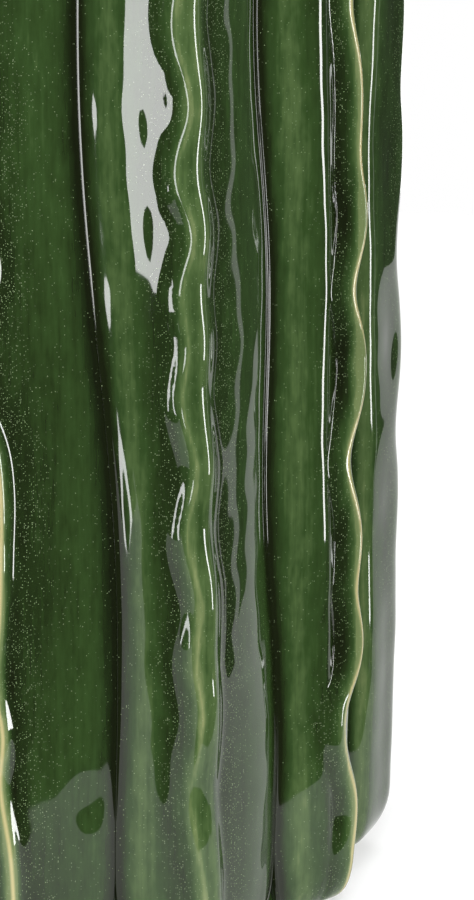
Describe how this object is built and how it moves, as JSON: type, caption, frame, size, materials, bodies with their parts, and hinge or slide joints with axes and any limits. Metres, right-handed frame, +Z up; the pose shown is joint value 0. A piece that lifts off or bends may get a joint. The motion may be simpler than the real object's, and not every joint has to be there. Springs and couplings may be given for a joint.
{
  "type": "vase",
  "caption": "Tall cylindrical stoneware vase clad in upright wavy folds of clay with finger-pinched lips, glossy deep green glaze and a bare foot ring.",
  "frame": {"origin": "centre of the foot ring's underside, on the vase's own axis, in the plane that the vase stands on", "axes": "+Z up along the vase's axis; -Y towards the viewer of the reference view; +X to that viewer's right"},
  "size_m": [0.2119, 0.2122, 0.345],
  "materials": {
    "green_glaze": "gloss",
    "inner_glaze": "gloss",
    "rim_glaze": "gloss",
    "bare_clay": "matte"
  },
  "bodies": {
    "root": {"foot_ring": "bare_clay", "floor_slab": "inner_glaze", "corner_coil": "inner_glaze", "wall_cylinder": "inner_glaze", "rim_coil": "rim_glaze", "fold_01": "green_glaze", "fold_02": "green_glaze", "fold_03": "green_glaze", "fold_04": "green_glaze", "fold_05": "green_glaze", "fold_06": "green_glaze", "fold_07": "green_glaze", "fold_08": "green_glaze", "fold_09": "green_glaze", "fold_10": "green_glaze", "fold_11": "green_glaze", "fold_12": "green_glaze"}
  },
  "joints": []
}
